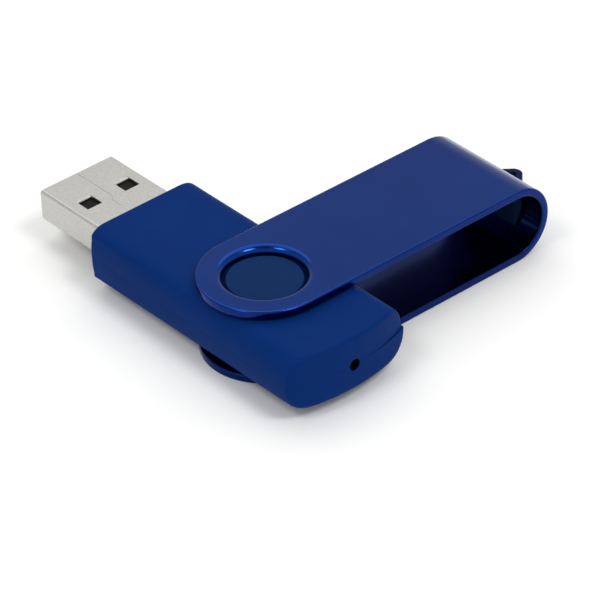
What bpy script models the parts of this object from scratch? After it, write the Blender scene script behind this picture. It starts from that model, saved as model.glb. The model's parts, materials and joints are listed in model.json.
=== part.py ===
"""USB flash drive with a swivelling metal clip, built as an assembly of separate pieces.

Units are metres and +Z is up.  The drive lies flat on its clip: the plug points along +X
and the clip is swung a little over a quarter turn from closed, so it points along -Y.  The origin
is on the resting surface, under the middle of the footprint.  Pieces are laid out in the
frame of the pivot, and an empty carries that frame to its place.
"""
import math

import bmesh
import bpy
from mathutils import Vector

MM = 0.001

# Clip: one strip of sheet metal, folded over the body, with a round window in each arm.
CLIP_HEIGHT = 10.8 * MM
CLIP_SHEET = 1.1 * MM
CLIP_WIDTH = 17.1 * MM
CLIP_REACH = 40.3 * MM              # pivot to the outside of the bend
WINDOW_RADIUS = 5.27 * MM
WINDOW_RIM = 0.95 * MM              # radius of the rolled rim round each window
CLIP_SWING = math.radians(-90.8)    # from closed, over the plug, to the stored pose
END_STEPS = 28
BEND_STEPS = 20
WINDOW_STEPS = 56
BODY_STEPS = 5

# Lanyard loop: a plastic saddle inside the bend, with an eye that sticks out through a slot.
SADDLE_HALF_LENGTH = 4.8 * MM
SADDLE_FACE = 37.9 * MM             # pivot to the saddle's flat inner face
EYE_REACH = 43.45 * MM              # pivot to the tip of the eye
EYE_THICKNESS = 1.7 * MM
EYE_ROOT_HALF_WIDTH = 4.6 * MM
EYE_TIP_RADIUS = 1.2 * MM
EYE_WALL = 0.85 * MM
EYE_HOLE_STEP = 2.5 * MM            # how much narrower the hole is than the eye's root
EYE_ROOT_SINK = 1.7 * MM            # how far inside the bend the eye's root starts
SLOT_HALF_WIDTH = 4.3 * MM          # narrower than the eye's root, which holds the loop in

# Body: two moulded shells that meet at mid height.  It widens and rounds off to the rear.
BODY_HEIGHT = 8.14 * MM
BODY_FRONT = 23.85 * MM             # pivot to the front face
BODY_REAR = -16.3 * MM              # pivot to the middle of the rear face
HALF_WIDTH_FRONT = 8.65 * MM
HALF_WIDTH_REAR = 9.4 * MM
SIDE_DEPTH_FRONT = 2.9 * MM         # how far the rounded side reaches in from the widest point
SIDE_DEPTH_REAR = 3.5 * MM
SIDE_POWER_FRONT = 3.2              # squareness of the rounded side
SIDE_POWER_REAR = 2.25
REAR_BOW = 19.5                     # rear face: set-back in metres per square metre of y
LOWER_FLARE = 0.25 * MM             # how far the lower shell stands out at the rear's -Y corner
REAR_EDGE_TOP = 0.5 * MM
REAR_EDGE_BOTTOM = 1.2 * MM
FRONT_EDGE = 0.3 * MM
WALL = 1.2 * MM
SEAM_GAP = 0.12 * MM
BOSS_RADIUS = 4.88 * MM
BOSS_HEIGHT = 0.45 * MM
LAMP_HOLE_RADIUS = 0.8 * MM
POST_SIZE = 1.0 * MM
POST_SPOTS = ((-12.8 * MM, 6.3 * MM), (12.0 * MM, 6.3 * MM))

# Plug: the standard 12.0 x 4.5 mm connector, folded from sheet.
PLUG_WIDTH = 12.0 * MM
PLUG_HEIGHT = 4.5 * MM
PLUG_SHEET = 0.3 * MM
PLUG_TIP = 37.3 * MM                # pivot to the mouth
PLUG_LENGTH = 18.75 * MM
PLUG_CORNER = 0.45 * MM
PLUG_WINDOW = (2.25 * MM, 2.35 * MM)
PLUG_WINDOW_FROM_TIP = 6.55 * MM
PLUG_WINDOW_OFFSET = 3.1 * MM
SEAM_WIDTH = 0.1 * MM
SEAM_JOG = 0.55 * MM
SEAM_STEPS = (29.9 * MM, 29.4 * MM, 27.6 * MM, 27.0 * MM, 25.4 * MM, 24.9 * MM)
TAB_LENGTH = 2.6 * MM               # two tabs behind the shell, soldered to the board's edge
TAB_HEIGHTS = (-1.4 * MM, 0.2 * MM)
CONTACT_SHEET = 0.25 * MM
CONTACT_WIDTH = 1.0 * MM
CONTACT_TAIL = 2.2 * MM             # how far the contacts run on over the board
CONTACT_ROWS = (-3.5 * MM, -1.0 * MM, 1.0 * MM, 3.5 * MM)
CONTACT_SETBACK = {"contact_power": 1.4 * MM, "contact_data_minus": 2.4 * MM,
                   "contact_data_plus": 2.4 * MM, "contact_ground": 1.4 * MM}

# Board inside the body.
BOARD_THICKNESS = 0.8 * MM
BOARD_TOP = 4.85 * MM
BOARD_HALF_WIDTH = 6.8 * MM
BOARD_FRONT = 18.2 * MM
BOARD_REAR = -14.0 * MM
BOARD_NOTCH = 3.0 * MM              # how far the plug's tabs reach along the board's front
BOARD_REAR_CORNER = 1.6 * MM
FIT_GAP = 0.15 * MM                 # clearance between pieces that rest on each other

# Parts on the board: size in x, y and z, then the middle of the footprint in x and y.
FLASH_CHIP = ((16.4 * MM, 12.0 * MM, 1.1 * MM), (-3.0 * MM, 0.0))
CONTROLLER_CHIP = ((7.0 * MM, 7.0 * MM, 1.1 * MM), (3.0 * MM, 0.0))
LEAD_LENGTH = 0.8 * MM
CHIP_SIZES = {
    "crystal": (3.2 * MM, 5.0 * MM, 1.1 * MM),
    "led": (0.8 * MM, 1.6 * MM, 0.7 * MM),
    "capacitor": (0.8 * MM, 1.6 * MM, 0.8 * MM),
    "resistor": (1.6 * MM, 0.8 * MM, 0.5 * MM),
}
SMALL_PARTS = (
    ("crystal", "crystal", "crystal_can", 9.6 * MM, -3.2 * MM),
    ("status_led", "led", "led_lens", -13.0 * MM, 0.0),
    ("bypass_capacitor_1", "capacitor", "capacitor_ceramic", 8.6 * MM, 2.2 * MM),
    ("bypass_capacitor_2", "capacitor", "capacitor_ceramic", 8.6 * MM, 4.4 * MM),
    ("bypass_capacitor_3", "capacitor", "capacitor_ceramic", 14.0 * MM, 5.2 * MM),
    ("crystal_capacitor_1", "capacitor", "capacitor_ceramic", 12.4 * MM, -4.6 * MM),
    ("crystal_capacitor_2", "capacitor", "capacitor_ceramic", 12.4 * MM, -1.8 * MM),
    ("data_resistor_1", "resistor", "resistor_body", 13.0 * MM, 0.2 * MM),
    ("data_resistor_2", "resistor", "resistor_body", 13.0 * MM, 2.0 * MM),
    ("led_resistor", "resistor", "resistor_body", 10.8 * MM, 3.3 * MM),
)

# Worked out from the dimensions above.
MID_HEIGHT = CLIP_HEIGHT / 2
BODY_TOP = MID_HEIGHT + BODY_HEIGHT / 2
BODY_BOTTOM = MID_HEIGHT - BODY_HEIGHT / 2
BOARD_BOTTOM = BOARD_TOP - BOARD_THICKNESS
PLUG_TOP = MID_HEIGHT + PLUG_HEIGHT / 2
PIVOT_X = -(PLUG_TIP + BODY_REAR) / 2
EYE_TIP_OFFSET = (EYE_REACH - EYE_TIP_RADIUS) * -math.sin(CLIP_SWING) + EYE_TIP_RADIUS
PIVOT_Y = (EYE_TIP_OFFSET - HALF_WIDTH_REAR) / 2

MATERIALS = {
    "navy_plastic": ((0.010, 0.040, 0.150), 0.55, 0.0),
    "navy_lacquer": ((0.022, 0.045, 0.220), 0.28, 0.85),
    "plug_steel": ((0.560, 0.550, 0.520), 0.30, 1.0),
    "black_plastic": ((0.015, 0.015, 0.016), 0.50, 0.0),
    "gold_plate": ((0.800, 0.550, 0.200), 0.25, 1.0),
    "board_green": ((0.020, 0.140, 0.060), 0.45, 0.0),
    "chip_epoxy": ((0.020, 0.020, 0.022), 0.60, 0.0),
    "crystal_can": ((0.620, 0.620, 0.600), 0.28, 1.0),
    "capacitor_ceramic": ((0.350, 0.230, 0.130), 0.50, 0.0),
    "resistor_body": ((0.030, 0.030, 0.035), 0.40, 0.0),
    "led_lens": ((0.750, 0.780, 0.800), 0.20, 0.0),
}


# ---------------------------------------------------------------- scene and object helpers

def clear_scene():
    for item in list(bpy.data.objects):
        bpy.data.objects.remove(item, do_unlink=True)


def make_material(name):
    colour, roughness, metallic = MATERIALS[name]
    material = bpy.data.materials.new(name)
    material.use_nodes = True
    shader = material.node_tree.nodes["Principled BSDF"]
    shader.inputs["Base Color"].default_value = (*colour, 1.0)
    shader.inputs["Roughness"].default_value = roughness
    shader.inputs["Metallic"].default_value = metallic
    material.diffuse_color = (*colour, 1.0)
    return material


def add_empty(name, turn=0.0):
    """An empty on the pivot axis, at floor level, turned about +Z."""
    empty = bpy.data.objects.new(name, None)
    empty.location = (PIVOT_X, PIVOT_Y, 0.0)
    empty.rotation_euler = (0.0, 0.0, turn)
    bpy.context.scene.collection.objects.link(empty)
    return empty


def add_object(name, bm, parent, location=(0.0, 0.0, 0.0)):
    bmesh.ops.recalc_face_normals(bm, faces=bm.faces)
    mesh = bpy.data.meshes.new(name)
    bm.to_mesh(mesh)
    bm.free()
    item = bpy.data.objects.new(name, mesh)
    item.location = location
    item.parent = parent
    bpy.context.scene.collection.objects.link(item)
    return item


def add_part(name, bm, material, parent, location=(0.0, 0.0, 0.0)):
    item = add_object(name, bm, parent, location)
    item.data.materials.append(material)
    item.data.shade_smooth()
    item.data.set_sharp_from_angle(angle=math.radians(32))
    return item


def add_cutter(name, bm, parent, location=(0.0, 0.0, 0.0)):
    cutter = add_object(name, bm, parent, location)
    cutter.hide_render = True
    cutter.display_type = "WIRE"
    return cutter


def combine(item, other, operation):
    """Boolean of item with a guide object, left on the stack."""
    step = item.modifiers.new(other.name, "BOOLEAN")
    step.operation = operation
    step.solver = "EXACT"
    step.object = other


# ---------------------------------------------------------------- mesh helpers

def box(low, high):
    bm = bmesh.new()
    bmesh.ops.create_cube(bm, size=1.0)
    size = Vector(high) - Vector(low)
    bmesh.ops.scale(bm, vec=size, verts=bm.verts)
    bmesh.ops.translate(bm, vec=Vector(low) + size / 2, verts=bm.verts)
    return bm


def soft_box(size, radius):
    """A box centred in plan, standing on z = 0, with bevelled edges."""
    bm = box((-size[0] / 2, -size[1] / 2, 0.0), (size[0] / 2, size[1] / 2, size[2]))
    bmesh.ops.bevel(bm, geom=bm.edges[:], offset=radius, segments=2, profile=0.5, affect="EDGES")
    return bm


def prism(outline, low, high, place):
    """Extrude a closed outline; place(a, b, height) turns its points into 3-D ones."""
    bm = bmesh.new()
    bottom = [bm.verts.new(place(a, b, low)) for a, b in outline]
    top = [bm.verts.new(place(a, b, high)) for a, b in outline]
    bm.faces.new(bottom)
    bm.faces.new(top)
    for i in range(len(outline)):
        j = (i + 1) % len(outline)
        bm.faces.new((bottom[i], bottom[j], top[j], top[i]))
    return bm


def upright(a, b, height):
    return (a, b, height)


def sideways(a, b, height):
    """Outline drawn in x and z, extruded along y."""
    return (a, height, b)


def turned(profile, steps):
    """A solid of revolution about +Z from (radius, z) points."""
    bm = bmesh.new()
    rings = []
    for radius, z in profile:
        angles = [2 * math.pi * i / steps for i in range(steps)]
        rings.append([bm.verts.new((radius * math.cos(a), radius * math.sin(a), z)) for a in angles])
    skin(bm, rings)
    bm.faces.new(rings[0])
    bm.faces.new(rings[-1])
    return bm


def skin(bm, rings):
    """Quads between neighbouring rings of equal length."""
    for lower, upper in zip(rings, rings[1:]):
        count = len(lower)
        for i in range(count):
            j = (i + 1) % count
            bm.faces.new((lower[i], lower[j], upper[j], upper[i]))


def fan(bm, ring, tip):
    centre = bm.verts.new(tip)
    for i, vert in enumerate(ring):
        bm.faces.new((vert, ring[(i + 1) % len(ring)], centre))


def arc(centre, radius, start, end, steps):
    """Points on an arc; angles in degrees."""
    points = []
    for i in range(steps + 1):
        angle = math.radians(start + (end - start) * i / steps)
        points.append((centre[0] + radius * math.cos(angle), centre[1] + radius * math.sin(angle)))
    return points


def rounded_rectangle(half_a, half_b, radius, steps=5):
    outline = []
    corners = ((1, 1, 0), (-1, 1, 90), (-1, -1, 180), (1, -1, 270))
    for sign_a, sign_b, start in corners:
        centre = (sign_a * (half_a - radius), sign_b * (half_b - radius))
        outline += arc(centre, radius, start, start + 90, steps)
    return outline


# ---------------------------------------------------------------- body shells

def side_section(half_width, half_height, depth, power, steps=9, flat_steps=5):
    """Closed outline in y and z about the mid height: flat top, rounded sides, flat bottom."""
    corner = []
    for i in range(steps + 1):
        angle = math.pi / 2 * i / steps
        across = depth * math.sin(angle) ** (2 / power)
        up = half_height * max(math.cos(angle), 0.0) ** (2 / power)
        corner.append((half_width - depth + across, up if i < steps else 0.0))
    flat = half_width - depth
    crown = [(-flat + 2 * flat * i / flat_steps, half_height) for i in range(1, flat_steps)]
    right = crown + corner + [(y, -z) for y, z in reversed(corner[:-1])]
    return right + [(-y, -z) for y, z in right]


def blend(rear_value, front_value, forward):
    return rear_value + (front_value - rear_value) * forward


def rear_edge(up):
    """Rounding of the rear edge: tight above and at the sides, fuller along the bottom."""
    return REAR_EDGE_TOP + (REAR_EDGE_BOTTOM - REAR_EDGE_TOP) * max(-up, 0.0) ** 2


def body_ring(bm, inset, forward, x_of, inward_of, flare=0.0):
    """One section of the body; forward runs from 0 at the rear to 1 at the front."""
    half_width = blend(HALF_WIDTH_REAR, HALF_WIDTH_FRONT, forward) - inset
    half_height = BODY_HEIGHT / 2 - inset
    depth = blend(SIDE_DEPTH_REAR, SIDE_DEPTH_FRONT, forward) - inset / 2
    power = blend(SIDE_POWER_REAR, SIDE_POWER_FRONT, forward)
    ring = []
    for y, z in side_section(half_width, half_height, depth, power):
        edge = rear_edge(z / half_height)
        new_y = y * (1 - inward_of(edge, half_width) / half_width)
        new_z = z * (1 - inward_of(edge, half_height) / half_height)
        swell = flare * (1 - forward) * max(-new_y / half_width, 0.0) ** 2
        ring.append(bm.verts.new((x_of(new_y, edge) - swell, new_y - swell, MID_HEIGHT + new_z)))
    return ring


def body_solid(inset, flare=0.0):
    """The body's outer shape, or with an inset the cavity inside it."""
    front = BODY_FRONT - inset
    rear = BODY_REAR + inset
    bm = bmesh.new()
    rings = []
    for part in (0.7, 0.35):
        rings.append(body_ring(
            bm, inset, 0.0, lambda y, edge: rear + REAR_BOW * y * y,
            lambda edge, half, part=part: edge + (half - edge) * part, flare))
    for step in range(6):
        angle = math.pi / 2 * step / 5
        back = 1 - math.cos(angle)
        inward = 1 - math.sin(angle)
        rings.append(body_ring(
            bm, inset, 0.0, lambda y, edge, back=back: rear + REAR_BOW * y * y + edge * back,
            lambda edge, half, inward=inward: edge * inward, flare))
    for step in range(1, BODY_STEPS):
        forward = step / BODY_STEPS

        def along(y, edge, forward=forward):
            return blend(rear + REAR_BOW * y * y + edge, front - FRONT_EDGE, forward)

        rings.append(body_ring(bm, inset, forward, along, lambda edge, half: 0.0, flare))
    for step in range(4):
        angle = math.pi / 2 * step / 3
        ahead = FRONT_EDGE * (1 - math.sin(angle))
        inward = FRONT_EDGE * (1 - math.cos(angle))
        rings.append(body_ring(
            bm, inset, 1.0, lambda y, edge, ahead=ahead: front - ahead,
            lambda edge, half, inward=inward: inward))
    skin(bm, rings)
    fan(bm, rings[0], (rear, 0.0, MID_HEIGHT))
    bm.faces.new(rings[-1])
    return bm


def shell_half(name, upper, material, parent):
    """One half of the body: outer skin, cavity, boss, board posts, plug slot and lamp hole."""
    sign = 1 if upper else -1
    shell = add_part(name, body_solid(0.0, 0.0 if upper else LOWER_FLARE), material, parent)
    reach = 60 * MM
    seam = MID_HEIGHT + sign * SEAM_GAP / 2
    boss_root = MID_HEIGHT + sign * (BODY_HEIGHT / 2 - WALL / 2)
    boss_face = MID_HEIGHT + sign * (BODY_HEIGHT / 2 + BOSS_HEIGHT)
    ease = 0.12 * MM
    profile = [
        (BOSS_RADIUS, boss_root),
        (BOSS_RADIUS, boss_face - sign * ease),
        (BOSS_RADIUS - ease, boss_face),
    ]
    boss = add_cutter(name + "_boss", turned(profile, WINDOW_STEPS), parent)
    combine(shell, boss, "UNION")
    cavity = add_cutter(name + "_cavity", body_solid(WALL), parent)
    combine(shell, cavity, "DIFFERENCE")
    spots = [(x, side * y) for x, y in POST_SPOTS for side in (1, -1)]
    for index, (x, y) in enumerate(spots):
        far = MID_HEIGHT + sign * (BODY_HEIGHT / 2 - WALL / 2)
        near = BOARD_TOP + FIT_GAP if upper else BOARD_BOTTOM - FIT_GAP
        low = (x - POST_SIZE / 2, y - POST_SIZE / 2, min(near, far))
        high = (x + POST_SIZE / 2, y + POST_SIZE / 2, max(near, far))
        combine(shell, add_cutter(f"{name}_post_{index}", box(low, high), parent), "UNION")
    cut_low = (-reach, -reach, seam - reach if upper else seam)
    cut_high = (reach, reach, seam if upper else seam + reach)
    combine(shell, add_cutter(name + "_split", box(cut_low, cut_high), parent), "DIFFERENCE")
    slot = rounded_rectangle(PLUG_WIDTH / 2 + FIT_GAP, PLUG_HEIGHT / 2 + FIT_GAP, PLUG_CORNER)
    slot_bm = prism(slot, BODY_FRONT - 4 * MM, BODY_FRONT + MM, lambda a, b, h: (h, a, MID_HEIGHT + b))
    combine(shell, add_cutter(name + "_slot", slot_bm, parent), "DIFFERENCE")
    ring = arc((0.0, MID_HEIGHT), LAMP_HOLE_RADIUS, 0, 345, 23)
    lamp_bm = prism(ring, BODY_REAR - MM, BODY_REAR + 3 * MM, lambda a, b, h: (h, a, b))
    combine(shell, add_cutter(name + "_lamp", lamp_bm, parent), "DIFFERENCE")
    return shell


# ---------------------------------------------------------------- swivel clip and loop

def clip_strip():
    """The folded strip, drawn along +X: two arms with round ends joined by a round bend."""
    half = CLIP_WIDTH / 2
    outer = CLIP_HEIGHT / 2
    inner = outer - CLIP_SHEET
    bend_at = CLIP_REACH - outer
    bm = bmesh.new()
    rings = []
    for i in range(END_STEPS + 1):
        angle = math.pi * (i / END_STEPS - 0.5)
        v = half * math.sin(angle)
        start = -half * math.cos(angle)
        outside = arc((bend_at, outer), outer, -90, 90, BEND_STEPS)
        inside = arc((bend_at, outer), inner, 90, -90, BEND_STEPS)
        side = [(start, 0.0), *outside, (start, CLIP_HEIGHT)]
        side += [(start, CLIP_HEIGHT - CLIP_SHEET), *inside, (start, CLIP_SHEET)]
        rings.append([bm.verts.new((u, v, z)) for u, z in side])
    skin(bm, rings)
    bm.faces.new(rings[0])
    bm.faces.new(rings[-1])
    return bm


def window_cutter(height_of):
    """Round hole through one arm with its outer rim rolled over; height_of maps depth to z."""
    profile = [(WINDOW_RADIUS + WINDOW_RIM + 0.6 * MM, height_of(-1.0 * MM))]
    profile.append((WINDOW_RADIUS + WINDOW_RIM + 0.02 * MM, height_of(-0.0005 * MM)))
    for step in range(7):
        angle = math.pi / 2 * step / 6
        radius = WINDOW_RADIUS + WINDOW_RIM * (1 - math.sin(angle))
        profile.append((radius, height_of(WINDOW_RIM * (1 - math.cos(angle)))))
    profile.append((WINDOW_RADIUS, height_of(CLIP_SHEET + 1.0 * MM)))
    return turned(profile, WINDOW_STEPS)


def eye_outline(root, root_half, tip_radius, tip):
    """Plan outline of the eye: a wide root running in to a round tip."""
    centre = tip - tip_radius
    reach = centre - root
    distance = math.hypot(reach, root_half)
    tangent = math.degrees(math.atan2(root_half, reach) + math.acos(tip_radius / distance))
    return [(root, -root_half)] + arc((centre, 0.0), tip_radius, tangent - 180, 180 - tangent, 14) + [
        (root, root_half)]


def make_clip(material, parent):
    clip = add_part("swivel_clip", clip_strip(), material, parent)
    top = add_cutter("clip_window_top", window_cutter(lambda depth: CLIP_HEIGHT - depth), parent)
    bottom = add_cutter("clip_window_bottom", window_cutter(lambda depth: depth), parent)
    combine(clip, top, "DIFFERENCE")
    combine(clip, bottom, "DIFFERENCE")
    half_gap = EYE_THICKNESS / 2 + FIT_GAP
    low = (CLIP_REACH - 3 * MM, -SLOT_HALF_WIDTH, MID_HEIGHT - half_gap)
    high = (CLIP_REACH + 3 * MM, SLOT_HALF_WIDTH, MID_HEIGHT + half_gap)
    combine(clip, add_cutter("clip_loop_slot", box(low, high), parent), "DIFFERENCE")
    return clip


def make_loop(material, parent):
    """Saddle that fills the inside of the bend, joined to the eye outside it."""
    radius = CLIP_HEIGHT / 2 - CLIP_SHEET - FIT_GAP
    bend_at = CLIP_REACH - CLIP_HEIGHT / 2
    half_angle = math.degrees(math.acos((SADDLE_FACE - bend_at) / radius))
    section = arc((bend_at, MID_HEIGHT), radius, -half_angle, half_angle, 12)
    saddle = prism(section, -SADDLE_HALF_LENGTH, SADDLE_HALF_LENGTH, sideways)
    loop = add_part("lanyard_loop", saddle, material, parent)
    root = CLIP_REACH - EYE_ROOT_SINK
    low = MID_HEIGHT - EYE_THICKNESS / 2
    high = MID_HEIGHT + EYE_THICKNESS / 2
    plate = prism(eye_outline(root, EYE_ROOT_HALF_WIDTH, EYE_TIP_RADIUS, EYE_REACH), low, high, upright)
    combine(loop, add_cutter("loop_plate", plate, parent), "UNION")
    inner = eye_outline(CLIP_REACH + 0.35 * MM, EYE_ROOT_HALF_WIDTH - EYE_HOLE_STEP,
                        EYE_TIP_RADIUS - EYE_WALL, EYE_REACH - EYE_WALL)
    hole = prism(inner, low - MM, high + MM, upright)
    combine(loop, add_cutter("loop_hole", hole, parent), "DIFFERENCE")
    return loop


# ---------------------------------------------------------------- plug

def along_x(a, b, height):
    """Outline drawn in y and z about the mid height, extruded along x."""
    return (height, a, MID_HEIGHT + b)


def make_plug_shell(material, parent):
    rear = PLUG_TIP - PLUG_LENGTH
    outline = rounded_rectangle(PLUG_WIDTH / 2, PLUG_HEIGHT / 2, PLUG_CORNER)
    shell = add_part("usb_plug_shell", prism(outline, rear, PLUG_TIP, along_x), material, parent)
    for side in (1, -1):
        edge = side * PLUG_WIDTH / 2
        inner = edge - side * PLUG_SHEET
        low = (rear - TAB_LENGTH, min(edge, inner), MID_HEIGHT + TAB_HEIGHTS[0])
        high = (rear + MM, max(edge, inner), MID_HEIGHT + TAB_HEIGHTS[1])
        combine(shell, add_cutter(f"plug_tab_{side}", box(low, high), parent), "UNION")
    bore = rounded_rectangle(PLUG_WIDTH / 2 - PLUG_SHEET, PLUG_HEIGHT / 2 - PLUG_SHEET, PLUG_CORNER / 2)
    cavity = prism(bore, rear - 5 * MM, PLUG_TIP + MM, along_x)
    combine(shell, add_cutter("plug_bore", cavity, parent), "DIFFERENCE")
    centre = PLUG_TIP - PLUG_WINDOW_FROM_TIP
    for side in (1, -1):
        y = side * PLUG_WINDOW_OFFSET
        low = (centre - PLUG_WINDOW[0] / 2, y - PLUG_WINDOW[1] / 2, MID_HEIGHT - PLUG_HEIGHT)
        high = (centre + PLUG_WINDOW[0] / 2, y + PLUG_WINDOW[1] / 2, MID_HEIGHT + PLUG_HEIGHT)
        combine(shell, add_cutter(f"plug_window_{side}", box(low, high), parent), "DIFFERENCE")
    combine(shell, add_cutter("plug_seam", seam_cutter(rear), parent), "DIFFERENCE")
    return shell


def seam_cutter(rear):
    """The fold's joint on top: straight from the mouth, then one dovetail step."""
    sides = (0.0, SEAM_JOG, SEAM_JOG, -SEAM_JOG, -SEAM_JOG, 0.0)
    line = [(PLUG_TIP + MM, 0.0), *zip(SEAM_STEPS, sides), (rear - MM, 0.0)]
    half = SEAM_WIDTH / 2
    outline = [(x, y + half) for x, y in line] + [(x, y - half) for x, y in reversed(line)]
    return prism(outline, MID_HEIGHT + PLUG_HEIGHT / 4, MID_HEIGHT + PLUG_HEIGHT, upright)


def make_contact_block(material, parent):
    """Plastic tongue under the shell's top, with a full-height root behind it."""
    top = PLUG_TOP - PLUG_SHEET - FIT_GAP
    tongue = BOARD_TOP + FIT_GAP + CONTACT_SHEET + 0.1 * MM
    floor = MID_HEIGHT - PLUG_HEIGHT / 2 + PLUG_SHEET + FIT_GAP
    back = PLUG_TIP - PLUG_LENGTH + 0.3 * MM
    root = back + 3.2 * MM
    nose = PLUG_TIP - 0.6 * MM
    side = [(back, floor), (root, floor), (root, tongue), (nose, tongue),
            (nose, top - 0.5 * MM), (nose - 0.5 * MM, top), (back, top)]
    half = PLUG_WIDTH / 2 - PLUG_SHEET - FIT_GAP
    block = add_part("plug_contact_block", prism(side, -half, half, sideways), material, parent)
    for index, y in enumerate(CONTACT_ROWS):
        clear = CONTACT_WIDTH / 2 + FIT_GAP
        low = (back - MM, y - clear, BOARD_TOP)
        high = (root + MM, y + clear, tongue + 0.001 * MM)
        combine(block, add_cutter(f"block_slot_{index}", box(low, high), parent), "DIFFERENCE")
    return block


def make_contacts(material, parent):
    low = BOARD_TOP + FIT_GAP
    tail = PLUG_TIP - PLUG_LENGTH - CONTACT_TAIL
    for y, (name, setback) in zip(CONTACT_ROWS, CONTACT_SETBACK.items()):
        tip = PLUG_TIP - setback
        strip = soft_box((tip - tail, CONTACT_WIDTH, CONTACT_SHEET), 0.05 * MM)
        add_part(name, strip, material, parent, ((tip + tail) / 2, y, low))


# ---------------------------------------------------------------- circuit board and parts

def make_board(material, parent):
    notch_x = BOARD_FRONT - BOARD_NOTCH
    notch_y = PLUG_WIDTH / 2 - PLUG_SHEET - FIT_GAP
    half = [(BOARD_FRONT, notch_y), (notch_x, notch_y), (notch_x, BOARD_HALF_WIDTH),
            (BOARD_REAR + BOARD_REAR_CORNER, BOARD_HALF_WIDTH),
            (BOARD_REAR, BOARD_HALF_WIDTH - BOARD_REAR_CORNER)]
    outline = half + [(x, -y) for x, y in reversed(half)]
    add_part("circuit_board", prism(outline, BOARD_BOTTOM, BOARD_TOP, upright), material, parent)


def make_chip(name, chip_size, spot, height, lead_rows, material, parent):
    """Epoxy body with rows of flat leads; lead_rows holds (axis, count, pitch)."""
    chip = add_part(name, soft_box(chip_size, 0.12 * MM), material, parent, (*spot, height))
    for axis, count, pitch in lead_rows:
        for side in (1, -1):
            comb = lead_comb(chip_size, axis, side, count, pitch)
            guide = add_cutter(f"{name}_leads_{axis}_{side}", comb, chip)
            combine(chip, guide, "UNION")
    return chip


def lead_comb(chip_size, axis, side, count, pitch):
    """A row of leads as one comb: a thin bar inside the body carries the teeth."""
    half_lead = pitch * 0.225
    bottom = chip_size[2] * 0.35
    top = bottom + 0.16 * MM
    edge = chip_size[axis] / 2
    spine = edge - 0.5 * MM
    tooth = edge - 0.3 * MM
    tip = edge + LEAD_LENGTH
    outline = []
    for i in range(count):
        middle = (i - (count - 1) / 2) * pitch
        outline += [(tooth, middle - half_lead), (tip, middle - half_lead),
                    (tip, middle + half_lead), (tooth, middle + half_lead)]
    last = (count - 1) / 2 * pitch + half_lead
    outline += [(spine, last), (spine, -last)]
    if axis == 0:
        return prism(outline, bottom, top, lambda a, b, h: (side * a, b, h))
    return prism(outline, bottom, top, lambda a, b, h: (b, side * a, h))


def make_board_parts(slots, parent):
    top = BOARD_TOP + FIT_GAP
    bottom = BOARD_BOTTOM - FIT_GAP
    epoxy = slots["chip_epoxy"]
    make_chip("flash_memory_chip", *FLASH_CHIP, top, [(0, 24, 0.46 * MM)], epoxy, parent)
    controller = make_chip("controller_chip", *CONTROLLER_CHIP, bottom,
                           [(0, 12, 0.5 * MM), (1, 12, 0.5 * MM)], epoxy, parent)
    controller.rotation_euler = (math.pi, 0.0, 0.0)
    for name, kind, slot, x, y in SMALL_PARTS:
        add_part(name, soft_box(CHIP_SIZES[kind], 0.08 * MM), slots[slot], parent, (x, y, top))


def main():
    clear_scene()
    slots = {name: make_material(name) for name in MATERIALS}
    drive = add_empty("drive_frame")
    swing = add_empty("clip_pivot", CLIP_SWING)
    shell_half("upper_shell", True, slots["navy_plastic"], drive)
    shell_half("lower_shell", False, slots["navy_plastic"], drive)
    make_clip(slots["navy_lacquer"], swing)
    make_loop(slots["navy_plastic"], swing)
    make_plug_shell(slots["plug_steel"], drive)
    make_contact_block(slots["black_plastic"], drive)
    make_contacts(slots["gold_plate"], drive)
    make_board(slots["board_green"], drive)
    make_board_parts(slots, drive)


main()
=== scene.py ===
import json
import math

import bmesh
import bpy
from mathutils import Matrix, Vector


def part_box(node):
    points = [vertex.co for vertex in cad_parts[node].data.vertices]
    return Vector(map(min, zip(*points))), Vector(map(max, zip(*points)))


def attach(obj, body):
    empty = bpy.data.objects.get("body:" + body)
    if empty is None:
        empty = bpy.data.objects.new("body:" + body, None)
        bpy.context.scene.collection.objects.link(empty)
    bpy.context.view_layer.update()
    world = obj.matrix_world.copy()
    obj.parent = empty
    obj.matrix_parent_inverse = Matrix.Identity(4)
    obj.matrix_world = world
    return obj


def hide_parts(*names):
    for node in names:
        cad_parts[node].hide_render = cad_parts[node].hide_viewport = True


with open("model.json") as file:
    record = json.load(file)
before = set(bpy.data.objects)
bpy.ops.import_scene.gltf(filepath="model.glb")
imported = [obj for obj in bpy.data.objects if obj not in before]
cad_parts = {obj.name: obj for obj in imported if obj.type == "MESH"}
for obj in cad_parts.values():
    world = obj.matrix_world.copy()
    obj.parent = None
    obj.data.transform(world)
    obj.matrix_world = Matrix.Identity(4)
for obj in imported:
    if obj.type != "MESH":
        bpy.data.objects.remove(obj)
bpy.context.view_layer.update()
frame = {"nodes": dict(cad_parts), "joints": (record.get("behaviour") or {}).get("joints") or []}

MM = 0.001

# ------------------------------------------------------------------ sizes taken from the frame
joint = frame["joints"][0]
PIVOT = Vector((joint["pos_m"][0], joint["pos_m"][1], 0.0))
clip_low, clip_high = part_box("swivel_clip")
upper_low, upper_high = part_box("upper_shell")
plug_low, plug_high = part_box("usb_plug_shell")

CLIP_HEIGHT = clip_high.z
MID = CLIP_HEIGHT / 2
BODY_FRONT = upper_high.x - PIVOT.x
BODY_REAR = upper_low.x - PIVOT.x
PLUG_TIP = plug_high.x - PIVOT.x
PLUG_WIDTH = plug_high.y - plug_low.y
PLUG_HEIGHT = plug_high.z - plug_low.z
BOSS_HEIGHT = 0.45 * MM  # as in the CAD, where the shell's box includes it
BODY_HALF_HEIGHT = upper_high.z - BOSS_HEIGHT - MID

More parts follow.
